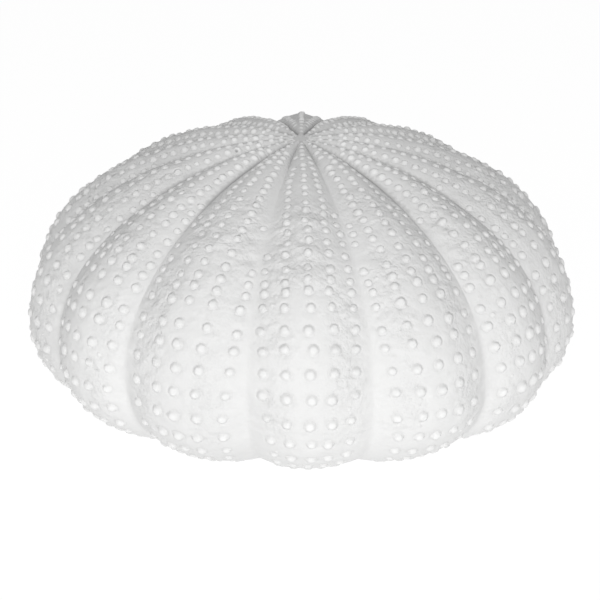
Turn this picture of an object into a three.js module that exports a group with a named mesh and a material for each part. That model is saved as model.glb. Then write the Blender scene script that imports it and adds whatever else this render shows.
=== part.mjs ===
// Sea urchin shell: a low, domed, radially lobed test in white stone-like
// material. Fourteen rounded lobes run like melon segments from a small smooth
// hub on top, over the widest line, and in underneath to a small flat spot that
// the shell rests on. Sharp V creases separate the lobes.
//
// Units are millimetres and +Z is up. The origin is the centre of the bounding
// box's bottom face, on the flat spot.

import * as THREE from 'three';
import { mergeVertices } from 'three/addons/utils/BufferGeometryUtils.js';

// Driving dimensions
const RADIUS = 75;            // crest of the lobes at the widest line
const UPPER_HEIGHT = 48.15;   // widest line up to the top of the dome
const LOWER_HEIGHT = 30.55;   // widest line down to where the bowl would close
const FLAT_DROP = 29.95;      // widest line down to the flat spot
const UPPER_POWERS = [1.936, 2.179];  // superellipse powers of the dome, along r and z
const LOWER_POWERS = [2.93, 2.14];    // the same for the bowl underneath
const HUB_RADIUS = 2.2;       // plain hub where all the lobes meet
const HUB_SINK = 1.03;        // how far the hub lies below the lobes' crests
const HUB_SPREAD = 12.5;      // radius over which the crests rise out of the hub

// A lobe's cross-section: straight flanks to a rounded crest on the dome,
// turning into a rounder section between these two stations of the crest line
const CREST_ROUNDING = 0.5;
const CREASE_PROFILE = 0.9;
const SECTION_BLEND = [0.8, 1.15];

// Crease depth, normal to the crest line, from hub (0) over the widest line (1)
// to the end of the bowl (2)
const CREASE_DEPTH = [
  [0.00, 0.0], [0.04, 0.6], [0.12, 1.5], [0.25, 2.25], [0.45, 3.0], [0.70, 3.4], [0.85, 3.65],
  [1.00, 3.9], [1.20, 3.4], [1.40, 2.3], [1.60, 1.5], [1.80, 0.75], [2.00, 0.3],
];

// The wall is a little fuller on one side, low down: azimuth and spread in
// degrees, height in millimetres, and the stations it rises and falls between
const FULLER = [
  [-45, 28, 1.3],
];
const FULL_RISE = [0.75, 1.15];
const FULL_FALL = [1.3, 1.7];

// Creases that cut deeper low down: index and share of extra depth, and the
// stations the extra rises and falls between
const DEEPER = new Map([[7, 0.35], [8, 0.3]]);
const DEEPER_RISE = [0.9, 1.15];
const DEEPER_FALL = [1.5, 1.9];

// Azimuth of each crease in degrees, from -Y towards -X. The lobes are nearly
// equal, with the small unevenness of a grown thing.
const CREASES = [
  -166.8, -143.6, -120.1, -90.9, -64.1, -40.5, -14.7,
  10.9, 38.6, 63.0, 89.0, 114.8, 141.3, 167.0,
];

// Mesh density
const LOBE_SEGMENTS = 10;
const UPPER_RINGS = 16;
const LOWER_RINGS = 13;

const lerpTable = (table, t) => {
  for (let i = 1; i < table.length; i++) {
    if (t <= table[i][0]) {
      const [t0, v0] = table[i - 1];
      const [t1, v1] = table[i];
      return v0 + ((v1 - v0) * (t - t0)) / (t1 - t0);
    }
  }
  return table[table.length - 1][1];
};

// 0 on the crest line of a lobe (w = 0), 1 in the crease (w = -1 or 1)
function section(w, s) {
  const end = Math.hypot(1, CREST_ROUNDING) - CREST_ROUNDING;
  const straight = (Math.hypot(w, CREST_ROUNDING) - CREST_ROUNDING) / end;
  const rounder = 1 - Math.pow(Math.max(1 - w * w, 0), CREASE_PROFILE);
  const t = THREE.MathUtils.smoothstep(s, ...SECTION_BLEND);
  return straight * (1 - t) + rounder * t;
}

function fullness(azimuth, s) {
  const rise = THREE.MathUtils.smoothstep(s, ...FULL_RISE);
  const fall = THREE.MathUtils.smoothstep(s, ...FULL_FALL);
  let total = 0;
  for (const [middle, spread, height] of FULLER) {
    const off = THREE.MathUtils.euclideanModulo(azimuth - middle + 180, 360) - 180;
    total += height * Math.exp(-((off / spread) ** 2));
  }
  return total * rise * (1 - fall);
}

// Depth of the crease that this half of the lobe runs down to
function creaseDepth(lobe, w, s) {
  const crease = w < 0 ? lobe : (lobe + 1) % CREASES.length;
  const rise = THREE.MathUtils.smoothstep(s, ...DEEPER_RISE);
  const fall = THREE.MathUtils.smoothstep(s, ...DEEPER_FALL);
  return lerpTable(CREASE_DEPTH, s) * (1 + (DEEPER.get(crease) ?? 0) * rise * (1 - fall));
}

// Crest line of a lobe: s runs 0 at the hub, 1 at the widest line, 2 underneath
function crest(s) {
  if (s <= 1) {
    const t = (s * Math.PI) / 2;
    const r = RADIUS * Math.pow(Math.sin(t), 2 / UPPER_POWERS[0]);
    const z = UPPER_HEIGHT * Math.pow(Math.max(Math.cos(t), 0), 2 / UPPER_POWERS[1]);
    return new THREE.Vector2(r, z - HUB_SINK * Math.exp(-((r / HUB_SPREAD) ** 2)));
  }
  const t = ((s - 1) * Math.PI) / 2;
  return new THREE.Vector2(
    RADIUS * Math.pow(Math.max(Math.cos(t), 0), 2 / LOWER_POWERS[0]),
    -LOWER_HEIGHT * Math.pow(Math.sin(t), 2 / LOWER_POWERS[1]),
  );
}

// Outward normal of the crest line, by a central difference
function crestNormal(s) {
  const a = crest(Math.max(s - 1e-3, 1e-4));
  const b = crest(Math.min(s + 1e-3, 1.9999));
  const d = b.sub(a).normalize();
  return new THREE.Vector2(-d.y, d.x);
}

// Where the crest line meets the plane of the flat spot
function flatParameter() {
  let lo = 1.2;
  let hi = 2;
  for (let i = 0; i < 60; i++) {
    const mid = (lo + hi) / 2;
    if (crest(mid).y > -FLAT_DROP) lo = mid;
    else hi = mid;
  }
  return lo;
}

function shellGeometry() {
  const sFlat = flatParameter();
  const stations = [];
  // small steps near the hub, where the lobes are narrow
  for (let i = 1; i <= UPPER_RINGS; i++) stations.push(Math.pow(i / UPPER_RINGS, 1.15));
  for (let i = 1; i <= LOWER_RINGS; i++) stations.push(1 + ((sFlat - 1) * i) / LOWER_RINGS);

  const profile = [new THREE.Vector2(0, crest(1e-4).y)];
  for (const s of stations) profile.push(crest(s));
  profile.push(new THREE.Vector2(0, -FLAT_DROP));

  // a turned body first; its rings are then drawn in at the creases
  const segments = CREASES.length * LOBE_SEGMENTS;
  const turned = new THREE.LatheGeometry(profile, segments);
  const position = turned.attributes.position;
  const top = crest(1e-4).y;
  for (let i = 0; i <= segments; i++) {
    const column = i % segments;
    const lobe = Math.floor(column / LOBE_SEGMENTS);
    const from = CREASES[lobe];
    const to = lobe + 1 < CREASES.length ? CREASES[lobe + 1] : CREASES[0] + 360;
    const u = (column % LOBE_SEGMENTS) / LOBE_SEGMENTS;
    const w = 2 * u - 1;
    const degrees = from + (to - from) * u;
    const azimuth = THREE.MathUtils.degToRad(degrees);
    for (let j = 0; j < profile.length; j++) {
      let r = 0;
      let z = j === 0 ? top : -FLAT_DROP;
      if (j > 0 && j < profile.length - 1) {
        const s = stations[j - 1];
        const p = crest(s);
        const n = crestNormal(s);
        const cut = creaseDepth(lobe, w, s) * section(w, s) - fullness(degrees, s);
        r = p.x - n.x * cut;
        z = p.y - n.y * cut;
        if (j === profile.length - 2) {
          // the flat spot's rim stays in one plane and only turns in at a crease
          r = p.x - 1.4 * section(w, s);
          z = -FLAT_DROP;
        } else if (p.x < HUB_RADIUS) {
          z = p.y;
        }
      }
      position.setXYZ(i * profile.length + j, -r * Math.sin(azimuth), -r * Math.cos(azimuth), z);
    }
  }

  // one closed skin: shared corners merged, empty faces at the two poles left out
  turned.deleteAttribute('normal');
  turned.deleteAttribute('uv');
  const skin = mergeVertices(turned, 1e-4);
  const index = [];
  for (let i = 0; i < skin.index.count; i += 3) {
    const a = skin.index.getX(i);
    const b = skin.index.getX(i + 1);
    const c = skin.index.getX(i + 2);
    if (a !== b && b !== c && c !== a) index.push(a, b, c);
  }
  skin.setIndex(index);

  // faces point out: a positive enclosed volume
  const v = [new THREE.Vector3(), new THREE.Vector3(), new THREE.Vector3()];
  let volume = 0;
  for (let i = 0; i < index.length; i += 3) {
    for (let k = 0; k < 3; k++) v[k].fromBufferAttribute(skin.attributes.position, index[i + k]);
    volume += v[0].dot(v[1].clone().cross(v[2])) / 6;
  }
  if (volume < 0) {
    for (let i = 0; i < index.length; i += 3) [index[i + 1], index[i + 2]] = [index[i + 2], index[i + 1]];
    skin.setIndex(index);
  }

  // origin under the middle of the bounding box, on the flat spot
  skin.computeBoundingBox();
  const box = skin.boundingBox;
  skin.translate(-(box.min.x + box.max.x) / 2, -(box.min.y + box.max.y) / 2, -box.min.z);
  skin.computeVertexNormals();
  return skin;
}

const group = new THREE.Group();
const shell = new THREE.Mesh(
  shellGeometry(),
  new THREE.MeshStandardMaterial({ color: 0xeeeeec, roughness: 0.72, metalness: 0 }),
);
shell.name = 'urchin_shell';
group.add(shell);

export default group;
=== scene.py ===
"""Sea urchin shell: the looks.

One closed skin stands for the CAD node urchin_shell. It follows the same lobed
form and adds what is too fine for the faceted solid: rows of tubercles with
sunken rings at their feet, granules, wrinkles and the crisp creases.
"""

import math

import bpy
import numpy as np
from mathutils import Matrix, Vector
from mathutils.geometry import delaunay_2d_cdt


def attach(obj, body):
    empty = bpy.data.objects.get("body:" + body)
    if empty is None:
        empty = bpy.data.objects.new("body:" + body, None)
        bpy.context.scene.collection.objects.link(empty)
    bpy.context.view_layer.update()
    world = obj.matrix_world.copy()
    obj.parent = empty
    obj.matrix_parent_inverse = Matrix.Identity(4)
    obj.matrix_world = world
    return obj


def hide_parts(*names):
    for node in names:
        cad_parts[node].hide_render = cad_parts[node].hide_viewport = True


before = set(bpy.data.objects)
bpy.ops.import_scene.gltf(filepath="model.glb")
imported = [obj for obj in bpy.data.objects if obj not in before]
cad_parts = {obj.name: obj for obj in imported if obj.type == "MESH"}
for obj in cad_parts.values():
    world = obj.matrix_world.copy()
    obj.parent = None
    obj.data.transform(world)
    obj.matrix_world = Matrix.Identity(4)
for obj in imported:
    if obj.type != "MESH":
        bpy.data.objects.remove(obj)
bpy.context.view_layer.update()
MM = 0.001
RNG = np.random.default_rng(20260714)

# ---------------------------------------------------------------------------
# The lobed form, in millimetres: the same numbers as the CAD solid
# ---------------------------------------------------------------------------
RADIUS = 75.0
UPPER_HEIGHT, LOWER_HEIGHT, FLAT_DROP = 48.15, 30.55, 29.95
UPPER_POWERS, LOWER_POWERS = (1.936, 2.179), (2.93, 2.14)
HUB_RADIUS, HUB_SINK, HUB_SPREAD = 2.2, 1.03, 12.5
# a lobe's cross-section: straight flanks to a rounded crest above, rounder below
CREST_ROUNDING, CREASE_PROFILE, SECTION_BLEND = 0.5, 0.9, (0.8, 1.15)
CREASE_DEPTH = np.array([
    [0.00, 0.0], [0.04, 0.6], [0.12, 1.5], [0.25, 2.25], [0.45, 3.0], [0.70, 3.4], [0.85, 3.65],
    [1.00, 3.9], [1.20, 3.4], [1.40, 2.3], [1.60, 1.5], [1.80, 0.75], [2.00, 0.3]])
CREASES = np.array([-166.8, -143.6, -120.1, -90.9, -64.1, -40.5, -14.7,
                    10.9, 38.6, 63.0, 89.0, 114.8, 141.3, 167.0])
LOBES = len(CREASES)


def crest(s):
    """Crest line of a lobe: radius and height; s is 0 at the hub, 1 at the widest line."""
    s = np.asarray(s, float)
    tu = np.clip(s, 0, 1) * math.pi / 2
    tl = np.clip(s - 1, 0, 1) * math.pi / 2
    ru = RADIUS * np.sin(tu) ** (2 / UPPER_POWERS[0])
    zu = (UPPER_HEIGHT * np.clip(np.cos(tu), 0, 1) ** (2 / UPPER_POWERS[1])
          - HUB_SINK * np.exp(-(ru / HUB_SPREAD) ** 2))
    rl = RADIUS * np.clip(np.cos(tl), 0, 1) ** (2 / LOWER_POWERS[0])
    zl = -LOWER_HEIGHT * np.sin(tl) ** (2 / LOWER_POWERS[1])
    return np.where(s <= 1, ru, rl), np.where(s <= 1, zu, zl)


def crest_normal(s):
    a = crest(np.maximum(s - 1e-3, 1e-4))
    b = crest(np.minimum(s + 1e-3, 1.9999))
    dr, dz = b[0] - a[0], b[1] - a[1]
    length = np.hypot(dr, dz)
    return -dz / length, dr / length


# meridian arc length against s, from the hub ring to the rim of the flat spot
_s = np.linspace(1e-5, 1.9999, 40001)
_r, _z = crest(_s)
_L = np.concatenate([[0.0], np.cumsum(np.hypot(np.diff(_r), np.diff(_z)))])
S_FLAT = float(_s[np.argmax(_z < -FLAT_DROP)])
L_HUB = float(np.interp(HUB_RADIUS, _r[_s <= 1], _L[_s <= 1]))
L_END = float(np.interp(S_FLAT, _s, _L))


def s_of(L):
    return np.interp(L, _L, _s)


def lobe_span(lobe):
    a0 = CREASES[lobe]
    a1 = CREASES[lobe + 1] if lobe + 1 < LOBES else CREASES[0] + 360.0
    return a0, a1


# the wall is a little fuller on one side, low down: azimuth, spread, height
FULLER = ((-45.0, 28.0, 1.3),)
# creases that cut deeper low down: index, share of extra depth
DEEPER = {7: 0.35, 8: 0.30}
# how far the creases are rounded off low down, in millimetres
SOFTER = {8: 1.1, 9: 0.6, 5: 0.6}


def fullness(azimuth, s):
    """Extra millimetres outwards; azimuth in degrees."""
    window = smoothstep(s, 0.75, 1.15) * (1 - smoothstep(s, 1.3, 1.7))
    total = 0.0
    for middle, spread, height in FULLER:
        off = (azimuth - middle + 180.0) % 360.0 - 180.0
        total = total + height * np.exp(-(off / spread) ** 2)
    return total * window


def crease_depth(lobe, w, s):
    """Depth of the crease that this half of the lobe runs down to."""
    first, second = DEEPER.get(lobe, 0.0), DEEPER.get((lobe + 1) % LOBES, 0.0)
    extra = np.where(w < 0, first, second) * smoothstep(s, 0.9, 1.15) * (1 - smoothstep(s, 1.5, 1.9))
    return np.interp(s, CREASE_DEPTH[:, 0], CREASE_DEPTH[:, 1]) * (1 + extra)


def section(w, s, soft=0.0):
    """0 on the crest line, 1 in the crease; soft rounds the bottom of the crease."""
    w = np.clip(1 - (np.sqrt((1 - np.abs(w)) ** 2 + soft ** 2) - 0.35 * soft * w * w), 0, 1)
    w2 = w * w
    straight = ((np.sqrt(w2 + CREST_ROUNDING ** 2) - CREST_ROUNDING)
                / (math.sqrt(1 + CREST_ROUNDING ** 2) - CREST_ROUNDING))
    rounder = 1 - (1 - w2) ** CREASE_PROFILE
    t = smoothstep(s, *SECTION_BLEND)
    return straight * (1 - t) + rounder * t


def half_width(lobe, L):
    a0, a1 = lobe_span(lobe)
    return crest(s_of(L))[0] * math.radians(a1 - a0) / 2


def smoothstep(x, a, b):
    t = np.clip((x - a) / (b - a), 0, 1)
    return t * t * (3 - 2 * t)


# ---------------------------------------------------------------------------
# Seeded value noise on points in millimetres
# ---------------------------------------------------------------------------
def _hash(i, j, k, seed):
    h = (i * 374761393 + j * 668265263 + k * 2147483647 + seed * 1274126177) & 0xFFFFFFFF
    h = ((h ^ (h >> 13)) * 1274126177) & 0xFFFFFFFF
    h = h ^ (h >> 16)
    return (h & 0xFFFFFF) / float(0xFFFFFF) * 2 - 1


def noise3(p, size, seed):
    q = p / size
    f = np.floor(q)
    t = q - f
    t = t * t * t * (t * (6 * t - 15) + 10)
    i, j, k = (f[..., n].astype(np.int64) for n in range(3))
    out = np.zeros(p.shape[:-1])
    for dx in (0, 1):
        wx = t[..., 0] if dx else 1 - t[..., 0]
        for dy in (0, 1):
            wy = t[..., 1] if dy else 1 - t[..., 1]
            for dz in (0, 1):
                wz = t[..., 2] if dz else 1 - t[..., 2]
                out += wx * wy * wz * _hash(i + dx, j + dy, k + dz, seed)
    return out


# ---------------------------------------------------------------------------
# Tubercles: five columns to a lobe where it is wide, three near the hub
# ---------------------------------------------------------------------------
SPACING = np.array([[3, 1.8], [8, 2.2], [15, 3.0], [30, 3.2], [42, 3.6], [52, 4.3], [62, 5.1],
                    [75, 5.7], [88, 6.1], [98, 6.4], [108, 6.0], [118, 5.3], [128, 4.6],
                    [138, 3.9], [150, 3.2], [165, 3.0]])
DIAMETER = np.array([[3, 1.2], [8, 1.9], [16, 2.25], [30, 2.4], [42, 2.5], [50, 2.6],
                     [58, 2.7], [69, 3.05], [80, 3.4], [92, 3.5], [104, 3.6], [118, 3.2],
                     [130, 2.25], [145, 1.7], [160, 1.4]])
INNER = np.array([[0, 0.4], [8, 1.15], [16, 2.2], [24, 3.4], [31, 4.2], [42, 4.9], [50, 5.2],
                  [60, 5.6], [70, 5.9], [80, 6.3], [90, 6.0], [100, 5.6], [111, 4.8],
                  [122, 3.9], [135, 2.9], [150, 2.0], [165, 1.6]])
OUTER = np.array([[0, 4.0], [38, 7.5], [42, 8.0], [50, 9.5], [58, 10.6], [69, 11.7], [80, 12.5],
                  [92, 12.0], [106, 10.9], [118, 8.9], [130, 6.9], [142, 5.0], [155, 3.8], [165, 3.2]])


def table(t, x):
    return np.interp(x, t[:, 0], t[:, 1])


# rows of tubercles, by distance down the crest line; closer and wider gaps as they grew
FIRST_ROWS = [5.4, 8.2, 11.0, 13.9, 16.8, 19.7, 22.7, 25.7, 28.5, 31.2, 34.2, 37.5, 41.0, 44.5,
              47.9, 51.6, 55.9, 60.3, 64.0, 67.0, 71.3, 77.5, 82.5, 88.5, 94.7, 101.5, 108.2, 114.6]


def row_positions():
    rows = list(FIRST_ROWS)
    while rows[-1] < L_END - 1.6:
        rows.append(rows[-1] + float(table(SPACING, rows[-1])))
    return np.array(rows[:-1])


ROWS = row_positions()


def lobe_tubercles(lobe):
    """Rows of (x, L, foot radius, height) for one lobe, x being from its middle line."""
    out = []
    a0, a1 = lobe_span(lobe)
    widen = (a1 - a0) / (360.0 / LOBES)
    phase = RNG.normal(0, 0.35)
    drift = RNG.normal(0, 0.25, 5)
    for column, (sign, law) in enumerate(((-1, OUTER), (-1, INNER), (0, None), (1, INNER), (1, OUTER))):
        for L in ROWS:
            step = float(table(SPACING, L))
            if law is OUTER and (L < 40.5 or L > 146):
                continue
            if law is INNER and L < 10.0:
                continue
            x = 0.0 if law is None else sign * float(table(law, L)) * widen
            # the side columns sit half a row lower near the hub and level out with it
            offset = 0.0 if law is None else 0.42 * step * float(1 - smoothstep(L, 28, 52))
            jitter = min(step / 5.0, 1.0)
            Lt = L + offset + phase * jitter + RNG.normal(0, 0.24) * jitter
            xt = x + (drift[column] + RNG.normal(0, 0.22)) * jitter
            size = float(table(DIAMETER, Lt)) * (1 + RNG.normal(0, 0.06 if L > 30 else 0.10))
            if law is OUTER:
                size *= 0.93
            foot = 0.43 * size
            room = float(half_width(lobe, Lt)) - abs(xt)
            if room < foot * 1.25 or Lt > L_END - 1.2 or Lt < L_HUB + 1.0:
                continue
            # they stand lower near the hub and where the wall turns under
            near = float(1 - smoothstep(L, 22, 36))
            tall = ((1.0 + RNG.normal(0, 0.06 + 0.10 * near) - 0.22 * float(smoothstep(L, 106, 132)))
                    * (1 - 0.36 * near))
            if lobe == LOBES - 1:
                tall *= 0.6 + (0.8 if law is None else 0.3) * float(smoothstep(L, 12.5, 16.5))
            sunken = 0.6 + 0.25 * float(smoothstep(L, 26, 58)) - 0.1 * float(smoothstep(L, 70, 80))
            out.append((xt, Lt, foot, foot * tall, sunken))
    # a few in-between ones, small, in the wider part
    for _ in range(9):
        L = RNG.uniform(60, 112)
        x = RNG.choice((-1, 1)) * float(table(OUTER, L)) * widen * RNG.uniform(0.7, 1.06)
        foot = RNG.uniform(0.5, 0.8)
        if all(math.hypot(x - t[0], L - t[1]) > t[2] * 1.5 + foot for t in out):
            out.append((x, L, foot, foot * 0.7, 0.5))
    return np.array(out)


def lobe_granules(lobe, tubercles):
    """Small low bumps between the tubercles: (x, L, radius, height)."""
    out = []
    tries = 0
    while len(out) < 64 and tries < 2500:
        tries += 1
        L = RNG.uniform(36, 128)
        hw = float(half_width(lobe, L))
        x = RNG.uniform(-1, 1) * (hw - 2.6)
        if abs(x) > float(table(OUTER, L)) + 1.4:
            continue
        radius = RNG.uniform(0.32, 0.62) * (0.7 + 0.3 * float(smoothstep(L, 40, 75)))
        d = np.hypot(tubercles[:, 0] - x, tubercles[:, 1] - L)
        if (d < tubercles[:, 2] * 1.35 + radius).any():
            continue
        if any(math.hypot(x - g[0], L - g[1]) < g[2] + radius for g in out):
            continue
        out.append((x, L, radius, radius * RNG.uniform(0.22, 0.42)))
    return np.array(out)


# one tubercle's section: a low round bead in a sunken ring with a faint raised lip,
# in units of its foot radius
_q = np.linspace(0, 2.3, 461)
_dome = np.interp(_q, [0.0, 0.2, 0.4, 0.6, 0.75, 0.9, 1.0, 1.1, 2.3],
                  [0.41, 0.41, 0.40, 0.355, 0.25, 0.10, 0.02, 0.0, 0.0])
_moat = np.interp(_q, [0.0, 0.6, 0.75, 0.9, 1.0, 1.1, 1.2, 1.35, 1.55, 2.3],
                  [0.0, 0.0, 0.045, 0.12, 0.15, 0.145, 0.10, 0.03, -0.005, 0.0])
_kernel = np.exp(-0.5 * (np.arange(-40, 41) / 11.0) ** 2)


def soften(h):
    return np.convolve(np.concatenate([h[40:0:-1], h, np.zeros(40)]), _kernel / _kernel.sum(), "valid")


_dome, _moat = soften(_dome), soften(_moat)


def bead(q, sunken):
    return np.interp(q, _q, _dome, right=0.0) - sunken * np.interp(q, _q, _moat, right=0.0)


def relief(lobe, x, L, tub, gran):
    """Height of the relief above the plain lobe, a 0 to 1 mask of painted shade in the rings at the tubercles' feet
    and a mask of painted highlight on their tops, both for the colour.
    """
    hw = half_width(lobe, L)
    side = smoothstep(hw - np.abs(x), 0.4, 2.4)
    height = np.zeros_like(x)
    painted_moat_shade = np.zeros_like(x)
    painted_top_light = np.zeros_like(x)
    for n0 in range(0, len(x), 4000):
        xs, Ls = x[n0:n0 + 4000, None], L[n0:n0 + 4000, None]
        q = np.hypot(xs - tub[None, :, 0], Ls - tub[None, :, 1]) / tub[None, :, 2]
        height[n0:n0 + 4000] += (tub[None, :, 3] * bead(q, tub[None, :, 4])).sum(1)
        # painted shade: a ring round each tubercle's foot, darkened in colour
        painted_moat_shade[n0:n0 + 4000] += (tub[None, :, 4] * np.exp(-((q - 1.06) / 0.2) ** 2)).sum(1)
        # painted highlight on the tubercle tops, strongest near the hub and a little stronger low down
        painted_top_light[n0:n0 + 4000] += ((0.25 + 0.75 * (1 - smoothstep(Ls, 20, 42)) + 0.2 * smoothstep(Ls, 90, 104))
                                 * (1 - smoothstep(q, 0.45, 0.85))).sum(1)
        g = np.hypot(xs - gran[None, :, 0], Ls - gran[None, :, 1]) / gran[None, :, 2]
        height[n0:n0 + 4000] += (gran[None, :, 3] * np.clip(1 - g * g, 0, 1) ** 1.2).sum(1)
    return height * smoothstep(hw - np.abs(x), 0.0, 0.55), painted_moat_shade, np.minimum(painted_top_light, 1.0), side


def uneven(x, L, px):
    """Where the ground is wrinkled: between the columns at the sides, and in a band round the shoulder."""
    patch = 0.35 + 0.65 * smoothstep(noise3(px, 11.0, 15), -0.45, 0.35)
    sides = smoothstep(np.abs(x), 3.0, 6.5) * smoothstep(L, 42, 60) * (1 - smoothstep(L, 100, 116))
    shoulder = 1.5 * smoothstep(L, 30, 40) * (1 - smoothstep(L, 60, 72))
    return patch, np.clip(0.15 + 0.85 * np.maximum(sides, 0.8 * shoulder), 0, 1.2)


# one small pit: lobe, x, L and radius
PIT = (9, -2.64, 18.6, 0.42)


def surface(lobe, x, L, tub, gran):
    """Points in mm about the hub's axis, with z from the widest line."""
    s = s_of(L)
    a0, a1 = lobe_span(lobe)
    hw = crest(s)[0] * math.radians(a1 - a0) / 2
    w = np.clip(x / np.maximum(hw, 1e-6), -1, 1)
    azimuth = np.radians(a0 + (a1 - a0) * (w + 1) / 2)
    r, z = crest(s)
    nr, nz = crest_normal(s)
    front = np.where(np.abs(np.degrees(azimuth)) < 25, 1.0, 0.0)
    low = np.where(w < 0, SOFTER.get(lobe, 0.35), SOFTER.get((lobe + 1) % LOBES, 0.35))
    soft = np.maximum(0.3 * front * smoothstep(L, 16, 32), low * smoothstep(L, 74, 98))
    cut = crease_depth(lobe, w, s) * section(w, s, soft / np.maximum(hw, 1.0))
    height, painted_moat_shade, painted_top_light, side = relief(lobe, x, L, tub, gran)
    # a narrow groove along the bottom of the crease, strongest near the hub
    groove = np.minimum(0.34 * hw, 0.75) * smoothstep(L, 3.5, 7) * (1 - smoothstep(L, 10, 34))
    room = np.maximum(hw - np.abs(x), 0)
    cut = cut + groove * (1 - 0.35 * front) * np.exp(-(room / (0.5 - 0.16 * front)) ** 2)
    # painted shade: the crease line is darkened in colour a little way out, less far on the creases at the front
    painted_crease_shade = (np.exp(-(room / (0.37 - 0.18 * front)) ** 2) * smoothstep(L, 3.0, 5.0)
            * (1 - smoothstep(L, 22 - 10 * front, 70 - 46 * front)) * (1 - 0.4 * front))
    if lobe == PIT[0]:
        pit = np.exp(-(np.hypot(x - PIT[1], L - PIT[2]) / PIT[3]) ** 2)
        cut = cut + 0.45 * pit
        # the pit is darkened with painted shade as well
        painted_crease_shade = np.maximum(painted_crease_shade, np.minimum(1.3 * pit, 1.0))
    # the plain ground fades to nothing at the hub and at the rim of the flat spot
    ends = smoothstep(L, L_HUB, L_HUB + 2.0) * (1 - smoothstep(L, L_END - 1.6, L_END - 0.2))
    px = np.stack([-r * np.sin(azimuth), -r * np.cos(azimuth), z], -1)
    patch, rough = uneven(x, L, px)
    ground = (0.14 * noise3(px, 7.0, 11) + (0.05 + 0.20 * patch * rough) * noise3(px, 3.1, 12)
              + 0.20 * patch * rough * noise3(px * np.array([1.0, 1.0, 2.0]), 2.2, 13))
    # fine ripples across the lobe, low down
    across = np.stack([x / 4.5 + 31.0 * lobe, L / 1.15, np.zeros_like(x)], -1)
    ground = ground + 0.13 * smoothstep(L, 86, 93) * (1 - smoothstep(L, 106, 114)) * noise3(across, 1.0, 17)
    lift = ends * (height + ground * (0.15 + 0.85 * side)) - cut + fullness(np.degrees(azimuth), s)
    r = r + nr * lift
    z = np.maximum(z + nz * lift, -FLAT_DROP)
    return np.stack([-r * np.sin(azimuth), -r * np.cos(azimuth), z], -1), painted_moat_shade, painted_top_light, painted_crease_shade, patch * rough, cut


# ---------------------------------------------------------------------------
# One lobe's vertices, triangulated in the flat (x, L) plane
# ---------------------------------------------------------------------------
def crease_stations():
    L = [L_HUB]
    while L[-1] < L_END:
        L.append(L[-1] + float(np.interp(L[-1], [0, 10, 40, 150], [0.45, 0.7, 1.1, 1.1])))
    L = np.array(L[:-1])
    return L * (L_END - L_HUB) / (L[-1] - L_HUB) - L_HUB * ((L_END - L_HUB) / (L[-1] - L_HUB) - 1)


STATIONS = crease_stations()
HUB_STEPS, RIM_STEPS = 3, 9


def ring_points(lobe, tub, gran):
    points = []
    for x, L, foot, _, _ in tub:
        if foot > 1.07 and L < 126:
            rings = ((0.46, 5), (0.76, 9), (1.0, 9), (1.22, 9), (1.52, 9))
        elif foot > 0.62 and L < 132:
            rings = ((0.52, 5), (0.9, 8), (1.2, 8), (1.6, 8))
        else:
            rings = ((0.6, 6), (1.0, 6), (1.4, 6))
        points.append((x, L))
        for q, n in rings:
            for i in range(n):
                a = 2 * math.pi * i / n + 0.3
                points.append((x + q * foot * math.cos(a), L + q * foot * math.sin(a)))
    for x, L, radius, _ in gran:
        points.append((x, L))
        for i in range(5):
            a = 2 * math.pi * i / 5 + x
            points.append((x + radius * math.cos(a), L + radius * math.sin(a)))
    # close to the creases near the hub
    for L in np.arange(L_HUB + 1.2, 36.0, 0.75):
        hw = float(half_width(lobe, L))
        if hw > 0.8:
            points += [(0.27 - hw, float(L)), (hw - 0.27, float(L))]
    if lobe == PIT[0]:
        points += [(PIT[1] + q * PIT[3] * math.cos(a), PIT[2] + q * PIT[3] * math.sin(a))
                   for q in (0.0, 0.6, 1.1, 1.7) for a in np.arange(7) * (2 * math.pi / 7)
                   if q > 0 or a == 0]
    return np.array(points)


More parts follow.
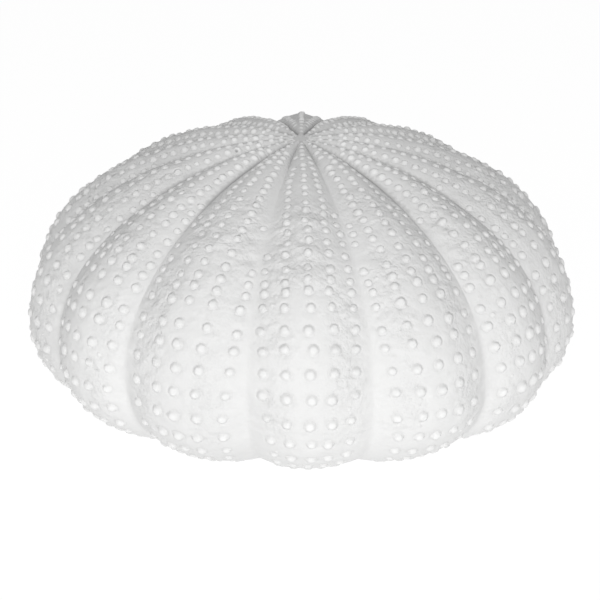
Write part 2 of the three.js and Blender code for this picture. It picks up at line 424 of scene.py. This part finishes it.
def lobe_mesh(lobe):
    tub = lobe_tubercles(lobe)
    gran = lobe_granules(lobe, tub)
    hw = half_width(lobe, STATIONS)
    left = np.stack([-hw, STATIONS], -1)
    right = np.stack([hw, STATIONS], -1)
    hub = [(float(-hw[0] + 2 * hw[0] * i / HUB_STEPS), L_HUB) for i in range(1, HUB_STEPS)]
    rim = [(float(-hw[-1] + 2 * hw[-1] * i / RIM_STEPS), L_END) for i in range(1, RIM_STEPS)]
    n = len(STATIONS)
    border = np.concatenate([left, right, np.array(hub), np.array(rim)])
    edges = [(i, i + 1) for i in range(n - 1)] + [(n + i, n + i + 1) for i in range(n - 1)]
    h0, r0 = 2 * n, 2 * n + HUB_STEPS - 1
    chain = [0] + [h0 + i for i in range(HUB_STEPS - 1)] + [n]
    edges += list(zip(chain[:-1], chain[1:]))
    chain = [n - 1] + [r0 + i for i in range(RIM_STEPS - 1)] + [2 * n - 1]
    edges += list(zip(chain[:-1], chain[1:]))

    def inside(p, margin):
        room = half_width(lobe, np.clip(p[:, 1], L_HUB, L_END)) - np.abs(p[:, 0])
        return (room > margin) & (p[:, 1] > L_HUB + margin) & (p[:, 1] < L_END - margin)

    rings = ring_points(lobe, tub, gran)
    rings = rings[inside(rings, 0.22)]
    # plain ground: a slightly uneven triangular grid, closer near the hub
    ground = []
    L = L_HUB + 0.3
    k = 0
    while L < L_END:
        step = float(np.interp(L, [0, 8, 25, 45, 118, 130, 155], [0.42, 0.62, 0.9, 1.16, 1.16, 1.5, 1.6]))
        width = float(half_width(lobe, L))
        m = max(int(2 * width / (step * 1.1)), 2)
        xs = (np.arange(m) + 0.5 + 0.25 * (k % 2 * 2 - 1)) / m * 2 * width - width
        xs = xs + RNG.normal(0, 0.07, m) * step
        ground += [(float(v), L + float(RNG.normal(0, 0.07)) * step) for v in xs]
        L += step * 0.87
        k += 1
    ground = np.array(ground)
    ground = ground[inside(ground, 0.3)]
    fixed = np.concatenate([border, rings])
    keep = np.ones(len(ground), bool)
    for n0 in range(0, len(ground), 1000):
        g = ground[n0:n0 + 1000]
        d = np.hypot(g[:, None, 0] - fixed[None, :, 0], g[:, None, 1] - fixed[None, :, 1]).min(1)
        near = np.interp(g[:, 1], [0, 8, 25, 45], [0.25, 0.36, 0.5, 0.6])
        keep[n0:n0 + 1000] = d > near
    # nothing of the ground inside a tubercle's foot
    d = np.hypot(ground[:, None, 0] - tub[None, :, 0], ground[:, None, 1] - tub[None, :, 1])
    keep &= (d > tub[None, :, 2] * 1.72).all(1)
    points = np.concatenate([border, rings, ground[keep]])
    out = delaunay_2d_cdt([Vector((float(a), float(b))) for a, b in points], edges, [], 1, 1e-5, True)
    verts2, _, faces, orig = out[0], out[1], out[2], out[3]
    xy = np.array([(v.x, v.y) for v in verts2])
    tags = np.array([o[0] if o else -1 for o in orig])
    return xy, np.array([f for f in faces if len(f) == 3]), tags, tub, gran


def build_shell(offset):
    n = len(STATIONS)
    positions, painted_moat_shades, cuts, wrinkles, painted_crease_shades, painted_top_lights = [], [], [], [], [], []
    faces, corners = [], []
    crease_id = {}
    total = 0
    eps = 0.03
    for lobe in range(LOBES):
        xy, tris, tags, tub, gran = lobe_mesh(lobe)
        x, L = xy[:, 0], xy[:, 1]
        p, painted_moat_shade, painted_top_light, painted_crease_shade, wrinkled, cut = surface(lobe, x, L, tub, gran)
        hw = half_width(lobe, L)
        xa, xb = np.maximum(x - eps, -hw), np.minimum(x + eps, hw)
        La, Lb = np.maximum(L - eps, L_HUB * 0.7), np.minimum(L + eps, L_END)
        tx = surface(lobe, xb, L, tub, gran)[0] - surface(lobe, xa, L, tub, gran)[0]
        ty = surface(lobe, np.clip(x, -half_width(lobe, Lb), half_width(lobe, Lb)), Lb, tub, gran)[0] \
            - surface(lobe, np.clip(x, -half_width(lobe, La), half_width(lobe, La)), La, tub, gran)[0]
        nrm = np.cross(tx, ty)
        nrm /= np.linalg.norm(nrm, axis=1, keepdims=True) + 1e-12
        outward = np.stack([p[:, 0], p[:, 1], p[:, 2] * 2.5], -1)
        nrm *= np.sign((nrm * outward).sum(1, keepdims=True))
        ids = np.empty(len(xy), int)
        for v in range(len(xy)):
            key = None
            tag = tags[v]
            if 0 <= tag < 2 * n:
                side, i = divmod(int(tag), n)
                key = ("c", (lobe + side) % LOBES, i)
            elif 2 * n <= tag < 2 * n + HUB_STEPS - 1:
                key = ("h", lobe, int(tag) - 2 * n)
            elif 2 * n + HUB_STEPS - 1 <= tag < 2 * n + HUB_STEPS + RIM_STEPS - 2:
                key = ("r", lobe, int(tag) - (2 * n + HUB_STEPS - 1))
            if key is not None and key in crease_id:
                ids[v] = crease_id[key]
                continue
            ids[v] = total
            if key is not None:
                crease_id[key] = total
            total += 1
            positions.append(p[v])
            painted_moat_shades.append(min(float(painted_moat_shade[v]), 1.0))
            cuts.append(float(cut[v]))
            wrinkles.append(float(wrinkled[v]))
            painted_crease_shades.append(float(painted_crease_shade[v]))
            painted_top_lights.append(float(painted_top_light[v]))
        faces += [tuple(int(ids[a]) for a in t) for t in tris]
        corners += [nrm[a] for t in tris for a in t]

    # hub: a small plain disc; the flat spot: a plain disc with a lobed rim
    def fan(kind, tag_i, steps, level, rings, up):
        nonlocal total
        ring = []
        for lobe in range(LOBES):
            ring.append(crease_id[("c", lobe, tag_i)])
            ring += [crease_id[(kind, lobe, i)] for i in range(steps - 1)]
        pts = [(positions[i][0], positions[i][1]) for i in ring]
        inner, m = [], len(ring)
        outer_r = float(np.mean([math.hypot(*q) for q in pts]))
        for fraction, count in rings:
            for i in range(count):
                a = 2 * math.pi * (i + 0.37) / count
                inner.append((outer_r * fraction * math.cos(a), outer_r * fraction * math.sin(a)))
        inner.append((0.0, 0.0))
        flat = [Vector(q) for q in pts + inner]
        out = delaunay_2d_cdt(flat, [(i, (i + 1) % m) for i in range(m)], [], 1, 1e-5, True)
        ids = []
        for v, o in zip(out[0], out[3]):
            if o and o[0] < m:
                ids.append(ring[o[0]])
                continue
            ids.append(total)
            total += 1
            positions.append(np.array([v.x, v.y, level(math.hypot(v.x, v.y) / outer_r)]))
            painted_moat_shades.append(0.0)
            cuts.append(0.0)
            wrinkles.append(0.05)
            painted_crease_shades.append(0.0)
            painted_top_lights.append(0.0)
        for f in out[2]:
            faces.append(tuple(ids[i] for i in f))
            corners.extend([np.array([0, 0, 1.0 if up else -1.0])] * 3)

    z_hub = float(np.mean([positions[crease_id[("c", k, 0)]][2] for k in range(LOBES)]))
    fan("h", 0, HUB_STEPS, lambda q: z_hub + 0.05 * (1 - q * q), ((0.66, 20), (0.33, 9)), True)
    fan("r", n - 1, RIM_STEPS, lambda q: -FLAT_DROP, tuple((k / 14, 8 * k) for k in range(1, 14)), False)

    positions = np.array(positions)
    faces = np.array(faces)
    corners = np.array(corners).reshape(-1, 3, 3)
    # where a crease bends, both lobes may fill the same sliver: neither is wanted
    _, which, count = np.unique(np.sort(faces, axis=1), axis=0, return_inverse=True, return_counts=True)
    single = count[which.ravel()] == 1
    faces, corners = faces[single], corners[single]
    used = np.zeros(len(positions), bool)
    used[faces.ravel()] = True
    renumber = np.cumsum(used) - 1
    faces, positions = renumber[faces], positions[used]
    masks = [np.array(m)[used] for m in (painted_moat_shades, np.clip(np.array(cuts) / 3.9, 0, 1), wrinkles, painted_crease_shades, painted_top_lights)]
    # the last ring and the flat spot lie in one plane
    tri = positions[faces]
    normal = np.cross(tri[:, 1] - tri[:, 0], tri[:, 2] - tri[:, 0])
    centre = tri.mean(1)
    radial = centre * np.array([1.0, 1.0, 2.5])
    flip = (normal * radial).sum(1) < 0
    faces[flip] = faces[flip][:, ::-1]
    corners[flip] = corners[flip][:, ::-1]
    xyz = (positions + np.array([offset[0], offset[1], FLAT_DROP])) * MM
    corners = corners.reshape(-1, 3)
    corners /= np.linalg.norm(corners, axis=1, keepdims=True) + 1e-12
    return xyz, faces, corners, masks


# where the hub's axis stands in the CAD frame: the flat spot's middle vertex
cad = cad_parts["urchin_shell"]
cv = np.array([v.co[:] for v in cad.data.vertices])
foot_ring = cv[cv[:, 2] < 2e-5]
middle = foot_ring[:, :2].mean(0)
axis_xy = foot_ring[np.argmin(np.hypot(*(foot_ring[:, :2] - middle).T)), :2] / MM

xyz, faces, nrm, masks = build_shell(axis_xy)
mesh = bpy.data.meshes.new("urchin_skin")
mesh.vertices.add(len(xyz))
mesh.vertices.foreach_set("co", xyz.astype(np.float32).ravel())
mesh.loops.add(faces.size)
mesh.loops.foreach_set("vertex_index", faces.astype(np.int32).ravel())
mesh.polygons.add(len(faces))
mesh.polygons.foreach_set("loop_start", np.arange(0, faces.size, 3, dtype=np.int32))
mesh.polygons.foreach_set("use_smooth", np.ones(len(faces), bool))
mesh.update(calc_edges=True)
mesh.validate()
for name, values in zip(("painted_moat_shade", "cut", "wrinkled", "painted_crease_shade", "painted_top_light"), masks):
    layer = mesh.attributes.new(name, "FLOAT", "POINT")
    layer.data.foreach_set("value", values.astype(np.float32))
mesh.normals_split_custom_set([tuple(v) for v in nrm])
shell = bpy.data.objects.new("shell_skin", mesh)
bpy.context.scene.collection.objects.link(shell)
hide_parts("urchin_shell")
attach(shell, "root")
print("skin:", len(xyz), "vertices,", len(faces), "triangles")


# ---------------------------------------------------------------------------
# Materials
# ---------------------------------------------------------------------------
def shell_material():
    mat = bpy.data.materials.new("white_shell")
    mat.use_nodes = True
    nt = mat.node_tree
    nodes, links = nt.nodes, nt.links
    nodes.clear()
    out = nodes.new("ShaderNodeOutputMaterial")
    bsdf = nodes.new("ShaderNodeBsdfPrincipled")
    links.new(bsdf.outputs["BSDF"], out.inputs["Surface"])
    coord = nodes.new("ShaderNodeTexCoord")

    def noise(scale, detail, rough, distort=0.0):
        n = nodes.new("ShaderNodeTexNoise")
        n.inputs["Scale"].default_value = scale
        n.inputs["Detail"].default_value = detail
        n.inputs["Roughness"].default_value = rough
        n.inputs["Distortion"].default_value = distort
        links.new(coord.outputs["Object"], n.inputs["Vector"])
        return n

    def math_node(op, a, b, clamp=False):
        m = nodes.new("ShaderNodeMath")
        m.operation = op
        m.use_clamp = clamp
        for i, v in enumerate((a, b)):
            if hasattr(v, "is_linked") or hasattr(v, "links"):
                links.new(v, m.inputs[i])
            else:
                m.inputs[i].default_value = v
        return m.outputs[0]

    # colour: nearly neutral white, faintly uneven, with painted shade a touch darker in the rings at the tubercles'
    # feet
    broad = noise(28.0, 4.0, 0.55)
    fine = noise(420.0, 3.0, 0.6)
    ramp = nodes.new("ShaderNodeValToRGB")
    ramp.color_ramp.elements[0].position = 0.3
    ramp.color_ramp.elements[0].color = (0.725, 0.725, 0.722, 1)
    ramp.color_ramp.elements[1].position = 0.7
    ramp.color_ramp.elements[1].color = (0.785, 0.785, 0.782, 1)
    mixed = math_node("ADD", math_node("MULTIPLY", broad.outputs["Fac"], 0.7),
                      math_node("MULTIPLY", fine.outputs["Fac"], 0.3))
    links.new(mixed, ramp.inputs["Fac"])
    # painted shade in the rings at the tubercles' feet
    moat_shade_attr = nodes.new("ShaderNodeAttribute")
    moat_shade_attr.attribute_name = "painted_moat_shade"
    shade = nodes.new("ShaderNodeMix")
    shade.data_type = "RGBA"
    shade.blend_type = "MULTIPLY"
    links.new(math_node("MULTIPLY", moat_shade_attr.outputs["Fac"], 0.35), shade.inputs["Factor"])
    links.new(ramp.outputs["Color"], shade.inputs["A"])
    shade.inputs["B"].default_value = (0.86, 0.86, 0.855, 1)
    # painted highlight: tubercle tops a touch paler than the ground, as if lit, most near the hub
    top_light_attr = nodes.new("ShaderNodeAttribute")
    top_light_attr.attribute_name = "painted_top_light"
    top_highlight = nodes.new("ShaderNodeMix")
    top_highlight.data_type = "RGBA"
    top_highlight.blend_type = "MIX"
    links.new(top_light_attr.outputs["Fac"], top_highlight.inputs["Factor"])
    links.new(shade.outputs["Result"], top_highlight.inputs["A"])
    top_highlight.inputs["B"].default_value = (0.96, 0.96, 0.957, 1)
    # painted shade along the bottom of the creases near the hub and in the small pit
    crease_shade_attr = nodes.new("ShaderNodeAttribute")
    crease_shade_attr.attribute_name = "painted_crease_shade"
    crease_shaded = nodes.new("ShaderNodeMix")
    crease_shaded.data_type = "RGBA"
    crease_shaded.blend_type = "MULTIPLY"
    links.new(crease_shade_attr.outputs["Fac"], crease_shaded.inputs["Factor"])
    links.new(top_highlight.outputs["Result"], crease_shaded.inputs["A"])
    crease_shaded.inputs["B"].default_value = (0.42, 0.42, 0.42, 1)
    links.new(crease_shaded.outputs["Result"], bsdf.inputs["Base Color"])

    # roughness: matte, slightly smoother on the high spots
    rough = nodes.new("ShaderNodeMapRange")
    rough.inputs["To Min"].default_value = 0.56
    rough.inputs["To Max"].default_value = 0.78
    links.new(fine.outputs["Fac"], rough.inputs["Value"])
    links.new(rough.outputs["Result"], bsdf.inputs["Roughness"])
    bsdf.inputs["Specular IOR Level"].default_value = 0.35

    # bump: fine granules, short wrinkles and grain
    vor = nodes.new("ShaderNodeTexVoronoi")
    vor.inputs["Scale"].default_value = 900.0
    warp = noise(300.0, 2.0, 0.5)
    addv = nodes.new("ShaderNodeMixRGB")
    addv.blend_type = "ADD"
    addv.inputs["Fac"].default_value = 0.0016
    links.new(coord.outputs["Object"], addv.inputs["Color1"])
    links.new(warp.outputs["Color"], addv.inputs["Color2"])
    links.new(addv.outputs["Color"], vor.inputs["Vector"])
    wrinkle = noise(520.0, 4.0, 0.62, 0.8)
    grain = noise(2600.0, 3.0, 0.6)
    height = math_node("ADD", math_node("MULTIPLY", wrinkle.outputs["Fac"], 1.0),
                       math_node("MULTIPLY", vor.outputs["Distance"], -0.35))
    height = math_node("ADD", height, math_node("MULTIPLY", grain.outputs["Fac"], 0.18))
    # plainer along the creases
    cut_attr = nodes.new("ShaderNodeAttribute")
    cut_attr.attribute_name = "cut"
    plain = nodes.new("ShaderNodeMapRange")
    plain.inputs["From Min"].default_value = 0.35
    plain.inputs["From Max"].default_value = 0.8
    plain.inputs["To Min"].default_value = 1.0
    plain.inputs["To Max"].default_value = 0.25
    links.new(cut_attr.outputs["Fac"], plain.inputs["Value"])
    height = math_node("MULTIPLY", height, plain.outputs["Result"])
    wrinkled_attr = nodes.new("ShaderNodeAttribute")
    wrinkled_attr.attribute_name = "wrinkled"
    amount = nodes.new("ShaderNodeMapRange")
    amount.inputs["To Min"].default_value = 0.14
    amount.inputs["To Max"].default_value = 0.66
    links.new(wrinkled_attr.outputs["Fac"], amount.inputs["Value"])
    height = math_node("MULTIPLY", height, amount.outputs["Result"])
    bump = nodes.new("ShaderNodeBump")
    bump.inputs["Strength"].default_value = 1.0
    bump.inputs["Distance"].default_value = 0.0007
    links.new(height, bump.inputs["Height"])
    links.new(bump.outputs["Normal"], bsdf.inputs["Normal"])
    return mat


mesh.materials.append(shell_material())


def floor_material():
    mat = bpy.data.materials.new("pale_floor")
    mat.use_nodes = True
    nodes, links = mat.node_tree.nodes, mat.node_tree.links
    nodes.clear()
    out = nodes.new("ShaderNodeOutputMaterial")
    add = nodes.new("ShaderNodeAddShader")
    diffuse = nodes.new("ShaderNodeBsdfDiffuse")
    diffuse.inputs["Color"].default_value = (0.14, 0.14, 0.14, 1)
    glow = nodes.new("ShaderNodeEmission")
    glow.inputs["Color"].default_value = (1, 1, 1, 1)
    glow.inputs["Strength"].default_value = 0.92
    links.new(diffuse.outputs[0], add.inputs[0])
    links.new(glow.outputs[0], add.inputs[1])
    links.new(add.outputs[0], out.inputs["Surface"])
    return mat


bpy.ops.mesh.primitive_circle_add(vertices=96, radius=2.5, fill_type="NGON", location=(0, 0, 0))
floor = bpy.context.object
floor.name = "floor"
floor.data.materials.append(floor_material())

# ---------------------------------------------------------------------------
# Light and camera
# ---------------------------------------------------------------------------
scene = bpy.context.scene
scene.view_settings.view_transform = "Standard"
scene.view_settings.look = "None"
scene.view_settings.exposure = 0.0
scene.view_settings.gamma = 1.0

world = bpy.data.worlds.new("studio")
scene.world = world
world.use_nodes = True
world.node_tree.nodes["Background"].inputs["Color"].default_value = (1, 1, 1, 1)
world.node_tree.nodes["Background"].inputs["Strength"].default_value = 0.34

EQUATOR = Vector((axis_xy[0] * MM, axis_xy[1] * MM, FLAT_DROP * MM))


def softbox(name, azimuth, elevation, distance, size, power):
    light = bpy.data.lights.new(name, "AREA")
    light.shape = "DISK"
    light.size = size
    light.energy = power
    obj = bpy.data.objects.new(name, light)
    scene.collection.objects.link(obj)
    a, e = math.radians(azimuth), math.radians(elevation)
    obj.location = EQUATOR + distance * Vector((-math.sin(a) * math.cos(e), -math.cos(a) * math.cos(e), math.sin(e)))
    obj.rotation_euler = (EQUATOR - obj.location).to_track_quat("-Z", "Y").to_euler()
    return obj


softbox("key", 0, 30, 1.2, 0.7, 8.6)

camera_data = bpy.data.cameras.new("camera")
camera = bpy.data.objects.new("camera", camera_data)
scene.collection.objects.link(camera)
camera_data.sensor_width = 36.0
camera_data.lens = 124.29
camera_data.clip_end = 100.0
elevation = math.radians(22.74)
distance = 7.678 * RADIUS * MM
view_dir = Vector((0, -math.cos(elevation), math.sin(elevation)))
view_up = Vector((0, math.sin(elevation), math.cos(elevation)))
# aimed a hair to the left of the hub's axis and below the widest line
aim = EQUATOR + Vector((-0.225 * MM, 0, 0)) - 0.205 * MM * view_up
camera.location = EQUATOR + distance * view_dir
camera.rotation_euler = (aim - camera.location).to_track_quat("-Z", "Y").to_euler()
scene.camera = camera
